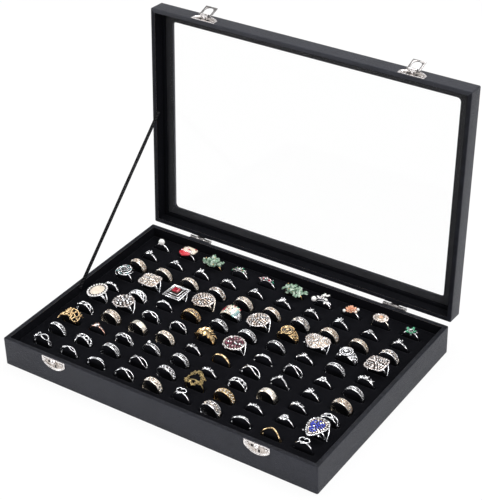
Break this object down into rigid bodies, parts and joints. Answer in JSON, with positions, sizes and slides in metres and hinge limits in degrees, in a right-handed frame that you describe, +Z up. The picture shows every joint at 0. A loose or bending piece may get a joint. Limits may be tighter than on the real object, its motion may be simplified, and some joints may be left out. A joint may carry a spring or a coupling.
{
  "type": "ring display box",
  "caption": "Shallow hinged case with a glazed lid, stay ribbon, swinging loop latches and a slotted velvet pad that holds rings upright.",
  "frame": {"origin": "centre of the tray's underside, on the surface it stands on", "axes": "+X along the hinge side, +Y from the front to the hinge, +Z up"},
  "size_m": [0.35, 0.2791, 0.2796],
  "materials": {
    "leatherette": "fine pebble grain, low sheen",
    "velvet": "short pile, matt",
    "felt": "matt",
    "ribbon": "woven, slight sheen",
    "board": "raw fibreboard",
    "glass": "clear float glass",
    "nickel": "stamped, bright nickel plate",
    "ring_metal": "polished silver, gold and champagne tones"
  },
  "bodies": {
    "tray": {"tray_front_board": "board", "tray_back_board": "board", "tray_left_board": "board", "tray_right_board": "board", "tray_base_board": "board", "tray_cover": "leatherette", "tray_lining": "velvet", "base_felt": "felt", "ring_pad": "velvet", "rings_row_01": "ring_metal", "rings_row_02": "ring_metal", "rings_row_03": "ring_metal", "rings_row_04": "ring_metal", "rings_row_05": "ring_metal", "rings_row_06": "ring_metal", "rings_row_07": "ring_metal", "rings_row_08": "ring_metal", "rings_row_09": "ring_metal", "rings_row_10": "ring_metal", "catch_left": "nickel", "catch_right": "nickel", "catch_nails": "nickel", "hinge_tray_leaf_left": "nickel", "hinge_tray_leaf_right": "nickel", "hinge_pin_left": "nickel", "hinge_pin_right": "nickel", "hinge_tray_nails": "nickel", "stay_ribbon": "ribbon"},
    "lid": {"lid_front_board": "board", "lid_back_board": "board", "lid_left_board": "board", "lid_right_board": "board", "lid_top_board": "board", "lid_cover": "leatherette", "lid_lining": "velvet", "glass_pane": "glass", "glass_bead": "velvet", "hinge_lid_leaf_left": "nickel", "hinge_lid_leaf_right": "nickel", "hinge_lid_nails": "nickel", "latch_plate_left": "nickel", "latch_plate_right": "nickel", "latch_pin_left": "nickel", "latch_pin_right": "nickel", "latch_nails": "nickel"},
    "loop_left": {"latch_loop_left": "nickel"},
    "loop_right": {"latch_loop_right": "nickel"}
  },
  "joints": [
    {"name": "lid_hinge", "type": "hinge", "parent": "tray", "child": "lid", "pos_m": [0, 0.1225, 0.0295], "axis": [1, 0, 0], "range_deg": [0, 93.4], "deforming": ["stay_ribbon"]},
    {"name": "loop_left_pivot", "type": "hinge", "parent": "lid", "child": "loop_left", "pos_m": [-0.1135, 0.1434, 0.27509], "axis": [1, 0, 0], "range_deg": [-35, 170.6]},
    {"name": "loop_right_pivot", "type": "hinge", "parent": "lid", "child": "loop_right", "pos_m": [0.1135, 0.1434, 0.27509], "axis": [1, 0, 0], "range_deg": [-35, 170.6]}
  ]
}
